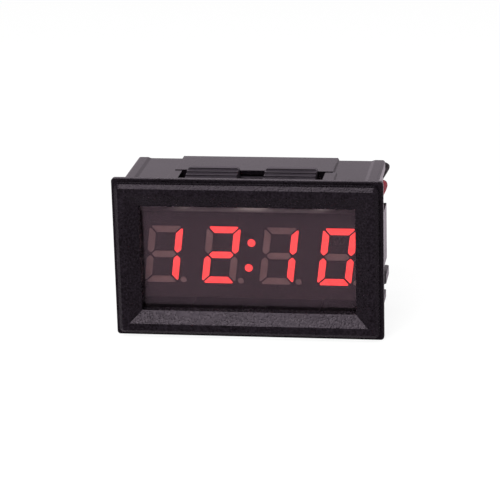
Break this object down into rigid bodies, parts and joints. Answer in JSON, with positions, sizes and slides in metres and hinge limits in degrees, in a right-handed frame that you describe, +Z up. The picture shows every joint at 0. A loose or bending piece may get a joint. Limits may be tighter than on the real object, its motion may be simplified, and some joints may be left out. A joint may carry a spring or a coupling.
{
  "type": "digital car clock",
  "caption": "Snap-in panel clock: black bevelled bezel, smoked lens over red segment digits, sprung toothed clips above and below, rear setting buttons and tied, coiled supply leads.",
  "frame": {"origin": "under the middle of the bezel, at half the case's depth, on the surface it stands on", "axes": "+X to the right as the display is read, +Y from the face to the back, +Z up"},
  "size_m": [0.048, 0.0434, 0.029],
  "materials": {
    "case_plastic": "fine moulded texture",
    "clip_plastic": "satin",
    "smoked_acrylic": "polished",
    "display_black": "satin",
    "board_laminate": "semi-gloss",
    "segment_lit": "diffuse, lit",
    "segment_unlit": "diffuse",
    "tinned_metal": "satin",
    "chip_epoxy": "matt",
    "can_metal": "satin",
    "ceramic_tan": "matt",
    "button_plastic": "satin",
    "grommet_rubber": "matt",
    "lead_red": "satin",
    "lead_black": "satin",
    "tie_nylon": "satin"
  },
  "bodies": {
    "clock": {"case": "case_plastic", "rear_cover": "case_plastic", "lens": "smoked_acrylic", "display_housing": "display_black", "display_substrate": "board_laminate", "lit_segments": "segment_lit", "colon_dots": "segment_lit", "unlit_segments": "segment_unlit", "decimal_points": "segment_unlit", "display_pins": "tinned_metal", "main_board": "board_laminate", "clock_chip": "chip_epoxy", "chip_pins": "tinned_metal", "crystal": "can_metal", "regulator": "chip_epoxy", "filter_capacitor": "can_metal", "capacitor_foot": "chip_epoxy", "protection_diode": "chip_epoxy", "chip_resistors": "chip_epoxy", "chip_capacitors": "ceramic_tan", "switch_bodies": "chip_epoxy", "switch_plates": "tinned_metal", "switch_domes": "tinned_metal", "lead_grommet": "grommet_rubber", "inner_leads": "lead_red", "solder_joints": "tinned_metal", "red_lead": "lead_red", "red_coil": "lead_red", "black_lead": "lead_black", "black_coil": "lead_black", "lead_tips": "tinned_metal", "coil_tie": "tie_nylon"},
    "top_clip": {"top_clip": "clip_plastic"},
    "bottom_clip": {"bottom_clip": "clip_plastic"},
    "hour_button": {"hour_button": "button_plastic"},
    "minute_button": {"minute_button": "button_plastic"}
  },
  "joints": [
    {"name": "top_clip_hinge", "type": "hinge", "parent": "clock", "child": "top_clip", "pos_m": [0, 0.00765, 0.02647], "axis": [1, 0, 0], "range_deg": [0, 10], "stiffness_Nm_per_rad": 0.08, "springref_deg": -1.15},
    {"name": "bottom_clip_hinge", "type": "hinge", "parent": "clock", "child": "bottom_clip", "pos_m": [0, 0.00765, 0.00253], "axis": [-1, 0, 0], "range_deg": [0, 10], "stiffness_Nm_per_rad": 0.08, "springref_deg": -1.15},
    {"name": "hour_button_press", "type": "slide", "parent": "clock", "child": "hour_button", "axis": [0, -1, 0], "range_m": [0, 0.00025], "stiffness_N_per_m": 300, "springref_m": -0.0002},
    {"name": "minute_button_press", "type": "slide", "parent": "clock", "child": "minute_button", "axis": [0, -1, 0], "range_m": [0, 0.00025], "stiffness_N_per_m": 300, "springref_m": -0.0002}
  ]
}
